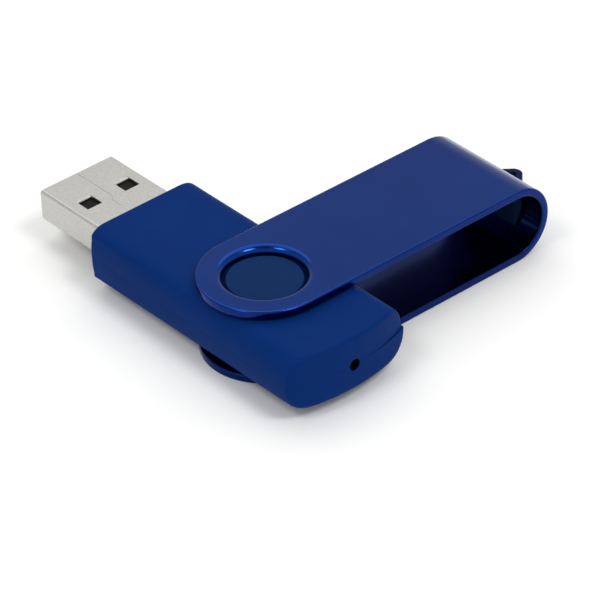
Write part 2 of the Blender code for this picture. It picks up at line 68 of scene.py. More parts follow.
# ------------------------------------------------------------------ sizes of the visible detail
CLIP_WIDTH = 17.1 * MM
CLIP_REACH = 40.3 * MM
CLIP_SHEET = 1.1 * MM
CLIP_EDGE = 0.2 * MM
CLIP_EDGE_STEPS = 5
CLIP_SWING = -90.8  # degrees from closed
FLAT_MARGIN = 0.25 * MM
SLOT_HALF_WIDTH = 4.3 * MM
SLOT_HALF_HEIGHT = 1.0 * MM
SLOT_CORNER = 0.3 * MM
WINDOW_RADIUS = 5.27 * MM
WINDOW_RIM = 0.95 * MM
WINDOW_RIM_STEPS = 10
WINDOW_INNER_EDGE = 0.12 * MM
WINDOW_INNER_STEPS = 3
HALF_WIDTH_FRONT = 8.62 * MM
HALF_WIDTH_REAR = 9.4 * MM
SIDE_DEPTH_FRONT = 2.9 * MM
SIDE_DEPTH_REAR = 3.5 * MM
SIDE_POWER_FRONT = 3.3  # superellipse power of the side: higher is squarer
SIDE_POWER_REAR = 2.25
REAR_BOW = 19.5  # per metre: the rear face curves forward by this times the square of y
LOWER_FLARE = 0.25 * MM
REAR_EDGE_TOP = 0.5 * MM
REAR_EDGE_BOTTOM = 1.2 * MM
FRONT_EDGE = 0.3 * MM
SHOULDER = 0.22 * MM
SHOULDER_AT = 0.79  # this and the span are parts of the body's half height
SHOULDER_SPAN = 0.2
REAR_FACE_RINGS = (1.95, 1.8, 1.6, 1.4, 1.2, 1.07)  # 1 is the end of the edge, 2 the middle
REAR_EDGE_STEPS = 8
BODY_SPANS = 8
FRONT_EDGE_STEPS = 5
SHELL_WALL = 1.2 * MM
SHELL_EDGE = 0.06 * MM
BOSS_RADIUS = 4.88 * MM
BOSS_EDGE = 0.14 * MM
BOSS_GROOVE_RADIUS = 5.35 * MM
BOSS_GROOVE_DEPTH = 0.5 * MM
BOSS_EDGE_STEPS = 5
LAMP_HOLE_RADIUS = 0.8 * MM
LAMP_HOLE_DEPTH = 3 * MM
LAMP_HOLE_STEPS = 48
LAMP_HOLE_SLACK = 0.01 * MM  # how far past the radius a face of its wall may lie
SEAM = 0.02 * MM
PLUG_SHEET = 0.3 * MM
PLUG_BORE_PAST = 5 * MM
PLUG_CORNER = 0.45 * MM
PLUG_EDGE = 0.05 * MM
PLUG_SLOT_GAP = 0.15 * MM
PLUG_SLOT_DEPTH = 4 * MM
PLUG_SLEEVE_SETBACK = 2.6 * MM
PLUG_SEAM_HALF_WIDTH = 0.012 * MM
PLUG_SEAM_JOG = 0.55 * MM
# Millimetres ahead of the pivot, and the side of the middle.
PLUG_SEAM_STEPS = ((29.9, 0.0), (29.4, 1.0), (27.6, 1.0), (27.0, -1.0), (25.4, -1.0), (24.9, 0.0))
PLUG_WINDOW_FROM_TIP = 6.55 * MM
PLUG_WINDOW_OFFSET = 3.1 * MM
PLUG_WINDOW_LENGTH = 2.25 * MM
PLUG_WINDOW_WIDTH = 2.35 * MM
PLUG_WINDOW_LEAN = 0.28 * MM
PLUG_WINDOW_PAST = 0.3 * MM
EYE_REACH = 43.45 * MM
EYE_ROOT_HALF_WIDTH = 4.6 * MM
EYE_TIP_RADIUS = 1.2 * MM
EYE_WALL = 0.85 * MM
EYE_THICKNESS = 1.7 * MM
EYE_HOLE_START = 0.35 * MM
EYE_HOLE_STEP = 2.5 * MM
EYE_ROOT_SINK = 0.6 * MM
SADDLE_HALF_LENGTH = 4.8 * MM
SADDLE_GAP = 0.03 * MM
SADDLE_FACE_SETBACK = 2.4 * MM
LOOP_EDGE = 0.25 * MM
ROUND_STEPS = 96
CUT_PAST = 1.0 * MM  # how far a cutter reaches past the face that it opens
BEND_AT = CLIP_REACH - CLIP_HEIGHT / 2


def srgb(red, green, blue):
    """Display values from 0 to 255 as linear colour."""
    def one(value):
        value /= 255.0
        return value / 12.92 if value <= 0.04045 else ((value + 0.055) / 1.055) ** 2.4
    return (one(red), one(green), one(blue), 1.0)


# ------------------------------------------------------------------ materials

class Nodes:
    """Small helper that adds and links shader nodes."""

    def __init__(self, name):
        self.material = bpy.data.materials.new(name)
        self.material.use_nodes = True
        self.tree = self.material.node_tree
        self.shader = self.tree.nodes["Principled BSDF"]

    def add(self, kind, **values):
        node = self.tree.nodes.new(kind)
        for key, value in values.items():
            setattr(node, key, value)
        return node

    def link(self, source, target):
        self.tree.links.new(source, target)

    def noise(self, scale, detail=4.0, roughness=0.6, stretch=(1.0, 1.0, 1.0)):
        place = self.add("ShaderNodeTexCoord")
        mapping = self.add("ShaderNodeMapping")
        mapping.inputs["Scale"].default_value = stretch
        noise = self.add("ShaderNodeTexNoise")
        noise.inputs["Scale"].default_value = scale
        noise.inputs["Detail"].default_value = detail
        noise.inputs["Roughness"].default_value = roughness
        self.link(place.outputs["Object"], mapping.inputs["Vector"])
        self.link(mapping.outputs["Vector"], noise.inputs["Vector"])
        return noise.outputs["Fac"]

    def spread(self, value, low, high, from_low=0.3, from_high=0.7):
        """Maps a noise value to a range."""
        node = self.add("ShaderNodeMapRange")
        node.inputs["From Min"].default_value = from_low
        node.inputs["From Max"].default_value = from_high
        node.inputs["To Min"].default_value = low
        node.inputs["To Max"].default_value = high
        self.link(value, node.inputs["Value"])
        return node.outputs["Result"]

    def ramp(self, value, stops):
        """Maps a value to colours."""
        node = self.add("ShaderNodeValToRGB")
        elements = node.color_ramp.elements
        while len(elements) < len(stops):
            elements.new(0.5)
        for element, (position, colour) in zip(elements, stops):
            element.position = position
            element.color = colour
        self.link(value, node.inputs["Fac"])
        return node.outputs["Color"]

    def bump(self, value, distance, below=None):
        """Bumps of the given height, on top of another bump if one is given."""
        node = self.add("ShaderNodeBump")
        node.inputs["Distance"].default_value = distance
        node.inputs["Strength"].default_value = 1.0
        self.link(value, node.inputs["Height"])
        if below is not None:
            self.link(below, node.inputs["Normal"])
        return node.outputs["Normal"]

    def set(self, **values):
        """Sets shader sockets that don't vary; an underscore stands for a space."""
        for key, value in values.items():
            self.shader.inputs[key.replace("_", " ")].default_value = value


def plastic(name, dark, light, roughness, grain=0.004, specular=0.026):
    """Moulded plastic: fine satin grain, faint cloudiness in the colour."""
    made = Nodes(name)
    cloud = made.noise(scale=90.0, detail=3.0)
    made.link(made.ramp(cloud, [(0.3, dark), (0.7, light)]), made.shader.inputs["Base Color"])
    fine = made.noise(scale=5200.0, detail=2.0, roughness=0.7)
    coarse = made.noise(scale=1500.0, detail=3.0, roughness=0.6)
    satin = made.spread(coarse, roughness - 0.05, roughness + 0.05)
    made.link(satin, made.shader.inputs["Roughness"])
    under = made.bump(coarse, grain * MM)
    made.link(made.bump(fine, grain * 2 * MM, below=under), made.shader.inputs["Normal"])
    made.set(Specular_IOR_Level=specular)
    return made.material


def lacquer(name, dark, light, edge_tint=(1.0, 1.0, 1.0, 1.0)):
    """Blue lacquer over sheet metal: tinted reflections and a slight orange-peel."""
    made = Nodes(name)
    cloud = made.noise(scale=60.0, detail=2.0)
    made.link(made.ramp(cloud, [(0.35, dark), (0.65, light)]), made.shader.inputs["Base Color"])
    flake = made.noise(scale=9000.0, detail=1.0, roughness=0.5)
    made.link(made.spread(flake, 0.14, 0.22), made.shader.inputs["Roughness"])
    peel = made.noise(scale=420.0, detail=2.0, roughness=0.5)
    made.link(made.bump(peel, 0.004 * MM), made.shader.inputs["Normal"])
    made.set(Metallic=1.0, Coat_Weight=0.1, Coat_Roughness=0.1, Specular_Tint=edge_tint)
    return made.material


def steel(name):
    """Nickel-plated sheet with fine rolling streaks along the plug."""
    made = Nodes(name)
    streak = made.noise(scale=2600.0, detail=4.0, roughness=0.7, stretch=(0.06, 1.0, 1.0))
    speck = made.noise(scale=3000.0, detail=3.0, roughness=0.6)
    dark = srgb(188, 186, 181)
    light = srgb(205, 203, 199)
    made.link(made.ramp(speck, [(0.3, dark), (0.7, light)]), made.shader.inputs["Base Color"])
    made.link(made.spread(streak, 0.30, 0.46), made.shader.inputs["Roughness"])
    under = made.bump(streak, 0.0015 * MM)
    made.link(made.bump(speck, 0.002 * MM, below=under), made.shader.inputs["Normal"])
    made.set(Metallic=1.0)
    return made.material


def simple(name, dark, light, roughness, metallic=0.0, specular=0.5):
    """Small inner pieces: two mixed tones with a fine surface."""
    made = Nodes(name)
    speck = made.noise(scale=2500.0, detail=3.0)
    made.link(made.ramp(speck, [(0.35, dark), (0.65, light)]), made.shader.inputs["Base Color"])
    uneven = made.spread(speck, roughness - 0.06, roughness + 0.06)
    made.link(uneven, made.shader.inputs["Roughness"])
    made.link(made.bump(speck, 0.004 * MM), made.shader.inputs["Normal"])
    made.set(Metallic=metallic, Specular_IOR_Level=specular)
    return made.material


# ------------------------------------------------------------------ object helpers

PLACED = Matrix.Translation(PIVOT)
SWUNG = Matrix.Translation(PIVOT) @ Matrix.Rotation(math.radians(CLIP_SWING), 4, "Z")


def new_object(name, bm, place=PLACED):
    """Turns a mesh drawn about the pivot into an object in the frame."""
    bm.transform(place)
    bmesh.ops.recalc_face_normals(bm, faces=bm.faces)
    mesh = bpy.data.meshes.new(name)
    bm.to_mesh(mesh)
    bm.free()
    item = bpy.data.objects.new(name, mesh)
    bpy.context.scene.collection.objects.link(item)
    return item


def combine(item, other, operation):
    """Adds a boolean step; bake applies it and removes the other object."""
    step = item.modifiers.new(other.name, "BOOLEAN")
    step.operation = operation
    step.solver = "EXACT"
    step.object = other


def bake(item):
    """Applies the modifiers and removes the objects that they used."""
    guides = [step.object for step in item.modifiers if step.type == "BOOLEAN"]
    bpy.context.view_layer.update()
    solved = item.evaluated_get(bpy.context.evaluated_depsgraph_get())
    mesh = bpy.data.meshes.new_from_object(solved)
    item.modifiers.clear()
    item.data = mesh
    for guide in guides:
        bpy.data.objects.remove(guide)


def soften(item, width, segments=3, angle=40.0):
    """Adds a step that rounds edges sharper than the angle, in degrees."""
    step = item.modifiers.new("soft_edges", "BEVEL")
    step.width = width
    step.segments = segments
    step.limit_method = "ANGLE"
    step.angle_limit = math.radians(angle)
    step.harden_normals = False
    step.miter_outer = "MITER_ARC"


def finish_piece(item, materials, body, slot, *nodes):
    """Gives a piece its materials and normals, puts it under its body and hides the nodes that it
    replaces; the slot argument is not used.
    """
    for material in materials:
        item.data.materials.append(material)
    item.data.shade_smooth()
    item.data.set_sharp_from_angle(angle=math.radians(50))
    step = item.modifiers.new("even_normals", "WEIGHTED_NORMAL")
    step.keep_sharp = True
    step.weight = 100
    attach(item, body)
    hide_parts(*nodes)
    return item


# ------------------------------------------------------------------ mesh helpers

def box(low, high):
    """Block between two corners."""
    bm = bmesh.new()
    bmesh.ops.create_cube(bm, size=1.0)
    size = Vector(high) - Vector(low)
    bmesh.ops.scale(bm, vec=size, verts=bm.verts)
    bmesh.ops.translate(bm, vec=Vector(low) + size / 2, verts=bm.verts)
    return bm


def arc(centre, radius, start, end, steps):
    """Points on an arc, both ends included; angles in degrees."""
    points = []
    for i in range(steps + 1):
        angle = math.radians(start + (end - start) * i / steps)
        points.append((centre[0] + radius * math.cos(angle), centre[1] + radius * math.sin(angle)))
    return points


def disc_outline(radius, steps):
    return arc((0.0, 0.0), radius, 0, 360 - 360 / steps, steps - 1)


def rounded_rectangle(half_a, half_b, radius, steps=8):
    outline = []
    for sign_a, sign_b, start in ((1, 1, 0), (-1, 1, 90), (-1, -1, 180), (1, -1, 270)):
        centre = (sign_a * (half_a - radius), sign_b * (half_b - radius))
        outline += arc(centre, radius, start, start + 90, steps)
    return outline


def prism(outline, low, high, place):
    """Solid between two heights; place turns outline and height into x, y and z."""
    bm = bmesh.new()
    bottom = [bm.verts.new(place(a, b, low)) for a, b in outline]
    top = [bm.verts.new(place(a, b, high)) for a, b in outline]
    bm.faces.new(bottom)
    bm.faces.new(top)
    for i in range(len(outline)):
        j = (i + 1) % len(outline)
        bm.faces.new((bottom[i], bottom[j], top[j], top[i]))
    return bm


def upright(a, b, height):
    """Outline in x and y, height along z."""
    return (a, b, height)


def along_x(a, b, height):
    """Outline in y and in z from the middle, height along x."""
    return (height, a, MID + b)


def along_y(a, b, height):
    """Outline in x and z, height along y."""
    return (a, height, b)


def skin(bm, rings, closed=True):
    """Faces between neighbouring rings of vertices."""
    for lower, upper in zip(rings, rings[1:]):
        count = len(lower)
        for i in range(count if closed else count - 1):
            j = (i + 1) % count
            bm.faces.new((lower[i], lower[j], upper[j], upper[i]))


def circle(bm, radius, z, steps=ROUND_STEPS):
    """Level ring of new vertices about the pivot."""
    angles = [2 * math.pi * i / steps for i in range(steps)]
    return [bm.verts.new((radius * math.cos(a), radius * math.sin(a), z)) for a in angles]


def quarter(radius, steps):
    """Rounded edge as (inset, depth) pairs, from the flat face to the side wall."""
    pairs = []
    for k in range(steps + 1):
        angle = math.pi / 2 * k / steps
        pairs.append((radius * (1 - math.sin(angle)), radius * (1 - math.cos(angle))))
    return pairs


# ------------------------------------------------------------------ body shells

def quarter_section(power, steps=22):
    """Quarter of a section, flat face to widest point, as (across, up) on a unit corner."""
    points = []
    for i in range(steps):
        angle = math.pi / 2 * i / steps
        points.append((math.sin(angle) ** (2 / power), math.cos(angle) ** (2 / power)))
    return points + [(1.0, 0.0)]


def edge_radius(up):
    """Rear edge rounding: tight above and at the sides, fuller along the bottom."""
    return REAR_EDGE_TOP + (REAR_EDGE_BOTTOM - REAR_EDGE_TOP) * max(-up, 0.0) ** 2


def drawn_in(shrink, edge, half):
    """How far a ring is drawn in: across the edge up to 1, beyond that across the rear face."""
    if shrink <= 1.0:
        return shrink * edge
    return edge + (shrink - 1.0) * (half - edge)


def body_ring(bm, x_of, forward, inset, flare, shrink=0.0, flat_steps=14):
    """One closed section. Forward runs from 0 at the rear to 1 at the front.

    x_of gives x from y and the edge radius. Flare makes the rear's -Y corner stand out.
    """
    def mix(rear_value, front_value):
        return rear_value + (front_value - rear_value) * forward

    half_width = mix(HALF_WIDTH_REAR, HALF_WIDTH_FRONT) - inset
    half_height = BODY_HALF_HEIGHT - inset
    depth = mix(SIDE_DEPTH_REAR, SIDE_DEPTH_FRONT) - inset / 2
    flat = half_width - depth
    corner = []
    for a, u in quarter_section(mix(SIDE_POWER_REAR, SIDE_POWER_FRONT)):
        near = max(1 - ((u - SHOULDER_AT) / SHOULDER_SPAN) ** 2, 0.0)
        shoulder = SHOULDER * forward ** 3 * near ** 2
        corner.append((flat + depth * a + shoulder, half_height * u))
    across = [-flat + 2 * flat * i / flat_steps for i in range(1, flat_steps)]
    right = corner + [(y, -z) for y, z in reversed(corner[:-1])]
    outline = [(y, half_height) for y in across] + right
    outline += [(-y, -z) for y, z in outline]
    points = []
    for y, z in outline:
        edge = edge_radius(z / half_height)
        new_z = z * (1 - drawn_in(shrink, edge, half_height) / half_height)
        new_y = y * (1 - drawn_in(shrink, edge, half_width) / half_width)
        swell = flare * (1 - forward) * max(-new_y / half_width, 0.0) ** 2
        points.append(bm.verts.new((x_of(new_y, edge) - swell, new_y - swell, MID + new_z)))
    return points


def body_form(inset, flare=0.0):
    """The body's outer shape, or with an inset the cavity inside it."""
    front = BODY_FRONT - inset
    rear = BODY_REAR + inset
    bm = bmesh.new()
    rings = []

    def rear_x(y, edge, back=0.0):
        return rear + REAR_BOW * y * y + edge * back

    for shrink in REAR_FACE_RINGS:
        rings.append(body_ring(bm, rear_x, 0.0, inset, flare, shrink))
    for inward, back in quarter(1.0, REAR_EDGE_STEPS):
        rings.append(body_ring(
            bm, lambda y, edge, b=back: rear_x(y, edge, b), 0.0, inset, flare, inward))
    for i in range(1, BODY_SPANS):
        t = i / BODY_SPANS

        def slide(y, edge, t=t):
            start = rear_x(y, edge, 1.0)
            return start + (front - FRONT_EDGE - start) * t

        rings.append(body_ring(bm, slide, t, inset, flare))
    for forward, inward in quarter(FRONT_EDGE, FRONT_EDGE_STEPS):
        ring = body_ring(bm, lambda y, edge, f=forward: front - f, 1.0, inset, flare)
        for vert in ring:
            vert.co.y *= 1 - inward / (HALF_WIDTH_FRONT - inset)
            vert.co.z = MID + (vert.co.z - MID) * (1 - inward / (BODY_HALF_HEIGHT - inset))
        rings.append(ring)
    skin(bm, rings)
    bm.faces.new(rings[0])
    bm.faces.new(rings[-1])
    return bm


def boss_form(sign):
    """Round pivot boss with a softened rim, standing on its shell."""
    bm = bmesh.new()
    face = MID + sign * (BODY_HALF_HEIGHT + BOSS_HEIGHT)
    root = MID + sign * (BODY_HALF_HEIGHT - SHELL_WALL / 2)
    rings = [circle(bm, BOSS_RADIUS, root)]
    for inset, depth in reversed(quarter(BOSS_EDGE, BOSS_EDGE_STEPS)):
        rings.append(circle(bm, BOSS_RADIUS - inset, face - sign * depth))
    rings.append(circle(bm, BOSS_RADIUS * 0.5, face))
    skin(bm, rings)
    bm.faces.new(rings[0])
    bm.faces.new(rings[-1])
    return bm


def shade_lamp_hole(shell):
    """Gives the wall of the light hole the third material, a near-black painted shade for the shade
    inside the hole.
    """
    for face in shell.data.polygons:
        across = math.hypot(face.center.y - PIVOT.y, face.center.z - MID)
        at_rear = face.center.x - PIVOT.x < BODY_REAR + 2 * SHELL_WALL
        runs_along_x = abs(face.normal.x) < 0.5
        if at_rear and runs_along_x and across < LAMP_HOLE_RADIUS + LAMP_HOLE_SLACK:
            face.material_index = 2


def cut_shell(shell, name, sign):
    """Hollows a body form, keeps one half, cuts the plug's slot, light hole and boss groove."""
    seam = MID + sign * SEAM / 2
    reach = 60 * MM
    low = (-reach, -reach, seam - reach if sign > 0 else seam)
    high = (reach, reach, seam if sign > 0 else seam + reach)
    slot = rounded_rectangle(PLUG_WIDTH / 2 + PLUG_SLOT_GAP, PLUG_HEIGHT / 2 + PLUG_SLOT_GAP, PLUG_CORNER)
    lamp = disc_outline(LAMP_HOLE_RADIUS, LAMP_HOLE_STEPS)
    groove = disc_outline(BOSS_GROOVE_RADIUS, ROUND_STEPS)
    floor = MID + sign * (BODY_HALF_HEIGHT - BOSS_GROOVE_DEPTH)
    outside = MID + sign * (BODY_HALF_HEIGHT + CUT_PAST)
    cutters = {
        "_cavity": body_form(SHELL_WALL),
        "_split": box(low, high),
        "_slot": prism(slot, BODY_FRONT - PLUG_SLOT_DEPTH, BODY_FRONT + CUT_PAST, along_x),
        "_lamp": prism(lamp, BODY_REAR - CUT_PAST, BODY_REAR + LAMP_HOLE_DEPTH, along_x),
        "_groove": prism(groove, min(floor, outside), max(floor, outside), upright),
    }
    for ending, cutter in cutters.items():
        combine(shell, new_object(name + ending, cutter), "DIFFERENCE")


def add_boss(shell, name, sign):
    """Joins the boss to its shell as one mesh, with the second material."""
    boss = new_object(name + "_boss", boss_form(sign))
    merged = bmesh.new()
    merged.from_mesh(shell.data)
    body_faces = len(merged.faces)
    merged.from_mesh(boss.data)
    merged.faces.ensure_lookup_table()
    for face in merged.faces[body_faces:]:
        face.material_index = 1
    merged.to_mesh(shell.data)
    merged.free()
    bpy.data.objects.remove(boss)


def make_shell(name, upper, materials):
    sign = 1 if upper else -1
    shell = new_object(name, body_form(0.0, 0.0 if upper else LOWER_FLARE))
    cut_shell(shell, name, sign)
    soften(shell, SHELL_EDGE, 3)
    bake(shell)
    shade_lamp_hole(shell)
    add_boss(shell, name, sign)
    node = "upper_shell" if upper else "lower_shell"
    return finish_piece(shell, materials, "drive", "navy_plastic", node)


# ------------------------------------------------------------------ swivel clip

def arm_path(inset, steps=64):
    """Outline of an arm in plan, inset from its edge: side, round end, side."""
    half = CLIP_WIDTH / 2 - inset
    return [(BEND_AT, -half)] + arc((0.0, 0.0), half, 270, 90, steps) + [(BEND_AT, half)]


def edge_profile():
    """The sheet's rounded edge, outer face to inner face, as (inset, depth).

    It starts and ends with a margin on the flat, which keeps the faces' shading flat.
    """
    outer = [(CLIP_EDGE + FLAT_MARGIN, 0.0)] + quarter(CLIP_EDGE, CLIP_EDGE_STEPS)
    inner = [(inset, CLIP_SHEET - depth) for inset, depth in reversed(outer)]
    return outer + inner


def make_arm(bm, height_of):
    """One arm with its rolled window; height_of turns depth in the sheet into height."""
    rows = []
    for inset, depth in edge_profile():
        rows.append([bm.verts.new((u, v, height_of(depth))) for u, v in arm_path(inset)])
    skin(bm, rows, closed=False)
    loops = [circle(bm, WINDOW_RADIUS + WINDOW_RIM + FLAT_MARGIN, height_of(0.0))]
    for inset, depth in quarter(WINDOW_RIM, WINDOW_RIM_STEPS):
        loops.append(circle(bm, WINDOW_RADIUS + inset, height_of(depth)))
    for inset, depth in reversed(quarter(WINDOW_INNER_EDGE, WINDOW_INNER_STEPS)):
        loops.append(circle(bm, WINDOW_RADIUS + inset, height_of(CLIP_SHEET - depth)))
    loops.append(circle(bm, WINDOW_RADIUS + WINDOW_INNER_EDGE + FLAT_MARGIN, height_of(CLIP_SHEET)))
    skin(bm, loops)
    for row, loop in ((rows[0], loops[0]), (rows[-1], loops[-1])):
        fill_between(bm, row, loop)


def fill_between(bm, row, loop):
    """Flat face from an open outline, closed across its ends, in to a round hole."""
    edges = [bm.edges.get((a, b)) or bm.edges.new((a, b)) for a, b in zip(row, row[1:])]
    edges.append(bm.edges.get((row[-1], row[0])) or bm.edges.new((row[-1], row[0])))
    for i, vert in enumerate(loop):
        other = loop[(i + 1) % len(loop)]
        edges.append(bm.edges.get((vert, other)) or bm.edges.new((vert, other)))
    bmesh.ops.triangle_fill(bm, edges=edges, use_beauty=True, use_dissolve=False)


def make_bend(bm, steps=48):
    """Half-round bend that joins the arms."""
    profile = edge_profile()
    half = CLIP_WIDTH / 2
    rings = []
    for i in range(steps + 1):
        angle = math.pi * (i / steps - 0.5)
        ring = []
        for side, pairs in ((1, profile), (-1, list(reversed(profile)))):
            for inset, depth in pairs:
                radius = CLIP_HEIGHT / 2 - depth
                ring.append(bm.verts.new((
                    BEND_AT + radius * math.cos(angle), side * (half - inset),
                    CLIP_HEIGHT / 2 + radius * math.sin(angle))))
        rings.append(ring)
    skin(bm, rings)


def clip_material_index(face):
    """0 on the strip's outside and window rims, 1 on its inner side, 2 on its cut edges; 1 and 2 get
    darker copies of the lacquer, which are painted shade.
    """
    across = face.center - PIVOT
    away = -across.y - BEND_AT
    up = face.center.z - MID
    radius = math.hypot(away, up) if away > 0 else abs(up)
    if radius < CLIP_HEIGHT / 2 - CLIP_SHEET + WINDOW_INNER_EDGE:
        return 1
    beyond_window = math.hypot(across.x, across.y) > CLIP_WIDTH / 2 - CLIP_EDGE
    if beyond_window and radius < CLIP_HEIGHT / 2 - CLIP_EDGE / 2:
        return 2
    return 0


def make_clip(materials):
    bm = bmesh.new()
    make_arm(bm, lambda depth: CLIP_HEIGHT - depth)
    make_arm(bm, lambda depth: depth)
    make_bend(bm)
    bmesh.ops.remove_doubles(bm, verts=bm.verts, dist=0.0005 * MM)
    clip = new_object("clip_sheet", bm, SWUNG)
    slot = rounded_rectangle(SLOT_HALF_WIDTH, SLOT_HALF_HEIGHT, SLOT_CORNER, 4)
    reach = 3 * MM
    cutter = prism(slot, CLIP_REACH - reach, CLIP_REACH + reach, along_x)
    combine(clip, new_object("clip_slot", cutter, SWUNG), "DIFFERENCE")
    bake(clip)
    for face in clip.data.polygons:
        face.material_index = clip_material_index(face)
    return finish_piece(clip, materials, "clip", "navy_lacquer", "swivel_clip")


# ------------------------------------------------------------------ lanyard loop

def eye_outline(root, root_half, tip_radius, tip, steps=20):
    """Wedge with straight sides that run into a round tip."""
    centre = tip - tip_radius
    reach = centre - root
    distance = math.hypot(reach, root_half)
    tangent = math.degrees(math.atan2(root_half, reach) + math.acos(tip_radius / distance))
    curve = arc((centre, 0.0), tip_radius, tangent - 180, 180 - tangent, steps)
    return [(root, -root_half)] + curve + [(root, root_half)]


def make_loop(material):
    radius = CLIP_HEIGHT / 2 - CLIP_SHEET - SADDLE_GAP
    face = CLIP_REACH - SADDLE_FACE_SETBACK
    half_angle = math.degrees(math.acos((face - BEND_AT) / radius))
    section = arc((BEND_AT, MID), radius, -half_angle, half_angle, 30)
    saddle = prism(section, -SADDLE_HALF_LENGTH, SADDLE_HALF_LENGTH, along_y)
    loop = new_object("loop_moulding", saddle, SWUNG)
    low = MID - EYE_THICKNESS / 2
    high = MID + EYE_THICKNESS / 2
    root = CLIP_REACH - CLIP_SHEET - EYE_ROOT_SINK
    outer = eye_outline(root, EYE_ROOT_HALF_WIDTH, EYE_TIP_RADIUS, EYE_REACH)
    combine(loop, new_object("loop_plate", prism(outer, low, high, upright), SWUNG), "UNION")
    inner = eye_outline(CLIP_REACH + EYE_HOLE_START, EYE_ROOT_HALF_WIDTH - EYE_HOLE_STEP,
                        EYE_TIP_RADIUS - EYE_WALL, EYE_REACH - EYE_WALL)
    hole = prism(inner, low - CUT_PAST, high + CUT_PAST, upright)
    combine(loop, new_object("loop_hole", hole, SWUNG), "DIFFERENCE")
    soften(loop, LOOP_EDGE, 4, 35)
    bake(loop)
    return finish_piece(loop, [material], "clip", "navy_plastic", "lanyard_loop")


# ------------------------------------------------------------------ plug

def window_section(centre):
    """Latch window seen from the side: its wall towards the tip leans out at both faces."""
    rear = centre - PLUG_WINDOW_LENGTH / 2
    front = centre + PLUG_WINDOW_LENGTH / 2
    reach = PLUG_HEIGHT / 2 + PLUG_WINDOW_PAST
    start = PLUG_HEIGHT / 2 - PLUG_WINDOW_LEAN
    lean = front + reach - start
    return [(rear, MID - reach), (lean, MID - reach), (front, MID - start),
            (front, MID + start), (lean, MID + reach), (rear, MID + reach)]


def plug_seam(rear):
    """Dovetailed line where the folded sheet meets, as a narrow cutter in the top face."""
    line = [(PLUG_TIP + CUT_PAST, 0.0)]
    line += [(x * MM, side * PLUG_SEAM_JOG) for x, side in PLUG_SEAM_STEPS]
    line.append((rear - CUT_PAST, 0.0))
    outline = [(x, y + PLUG_SEAM_HALF_WIDTH) for x, y in line]
    outline += [(x, y - PLUG_SEAM_HALF_WIDTH) for x, y in reversed(line)]
    return prism(outline, MID + PLUG_HEIGHT / 4, MID + PLUG_HEIGHT, upright)


def make_plug(material):
    rear = plug_low.x - PIVOT.x
    outline = rounded_rectangle(PLUG_WIDTH / 2, PLUG_HEIGHT / 2, PLUG_CORNER)
    sleeve = prism(outline, rear + PLUG_SLEEVE_SETBACK, PLUG_TIP, along_x)
    shell = new_object("plug_sleeve", sleeve)
    bore = rounded_rectangle(PLUG_WIDTH / 2 - PLUG_SHEET, PLUG_HEIGHT / 2 - PLUG_SHEET, PLUG_CORNER / 2)
    bore_cutter = prism(bore, rear - PLUG_BORE_PAST, PLUG_TIP + CUT_PAST, along_x)
    combine(shell, new_object("plug_bore", bore_cutter), "DIFFERENCE")
    window = window_section(PLUG_TIP - PLUG_WINDOW_FROM_TIP)
    for side in (1, -1):
        y = side * PLUG_WINDOW_OFFSET
        cutter = prism(window, y - PLUG_WINDOW_WIDTH / 2, y + PLUG_WINDOW_WIDTH / 2, along_y)
        combine(shell, new_object(f"plug_window_{side}", cutter), "DIFFERENCE")
    combine(shell, new_object("plug_seam", plug_seam(rear)), "DIFFERENCE")
    soften(shell, PLUG_EDGE, 3, 50)
    bake(shell)
    return finish_piece(shell, [material], "drive", "plug_steel", "usb_plug_shell")


# ------------------------------------------------------------------ stage

CAMERA_AZIMUTH = 229.464
CAMERA_ELEVATION = 35.477
CAMERA_ROLL = -1.884
CAMERA_DISTANCE = 420.38 * MM
CAMERA_LENS = 203.47
CAMERA_TARGET = Vector((-1.648, -4.163, 5.38)) * MM  # from the pivot
FLOOR_HALF_SIZE = 1.5
FLOOR_TONES = ((0.955, 0.955, 0.95, 1), (0.965, 0.965, 0.96, 1))
SKY_LOW = (0.69, 0.69, 0.68, 1)
SKY_LOW_UP_TO = 0.66
SKY_HIGH = (0.2, 0.2, 0.205, 1)
SKY_HIGH_FROM = 0.94
LIGHT_DISTANCE = 0.8


def make_floor():
    bm = bmesh.new()
    bmesh.ops.create_grid(bm, x_segments=4, y_segments=4, size=FLOOR_HALF_SIZE)
    floor = new_object("floor", bm, Matrix.Identity(4))
    made = Nodes("floor_paper")
    grain = made.noise(scale=40.0, detail=2.0)
    tones = made.ramp(grain, [(0.3, FLOOR_TONES[0]), (0.7, FLOOR_TONES[1])])
    made.link(tones, made.shader.inputs["Base Color"])
    made.set(Roughness=0.9, Specular_IOR_Level=0.0)
    floor.data.materials.append(made.material)


def make_world():
    """Soft surround: bright low down, dark overhead."""
    world = bpy.data.worlds.new("studio")
    bpy.context.scene.world = world
    world.use_nodes = True
    tree = world.node_tree
    place = tree.nodes.new("ShaderNodeTexCoord")
    split = tree.nodes.new("ShaderNodeSeparateXYZ")
    ramp = tree.nodes.new("ShaderNodeValToRGB")
    tree.links.new(place.outputs["Generated"], split.inputs["Vector"])
    tree.links.new(split.outputs["Z"], ramp.inputs["Fac"])
    tree.links.new(ramp.outputs["Color"], tree.nodes["Background"].inputs["Color"])
    elements = ramp.color_ramp.elements
    elements[0].position = SKY_LOW_UP_TO
    elements[0].color = SKY_LOW
    elements[1].position = SKY_HIGH_FROM
    elements[1].color = SKY_HIGH
    tree.nodes["Background"].inputs["Strength"].default_value = 1.0


def direction(azimuth, elevation):
    """Unit vector from the object outwards, from angles in degrees."""
    a = math.radians(azimuth)
    e = math.radians(elevation)
    return Vector((math.sin(a) * math.cos(e), -math.cos(a) * math.cos(e), math.sin(e)))


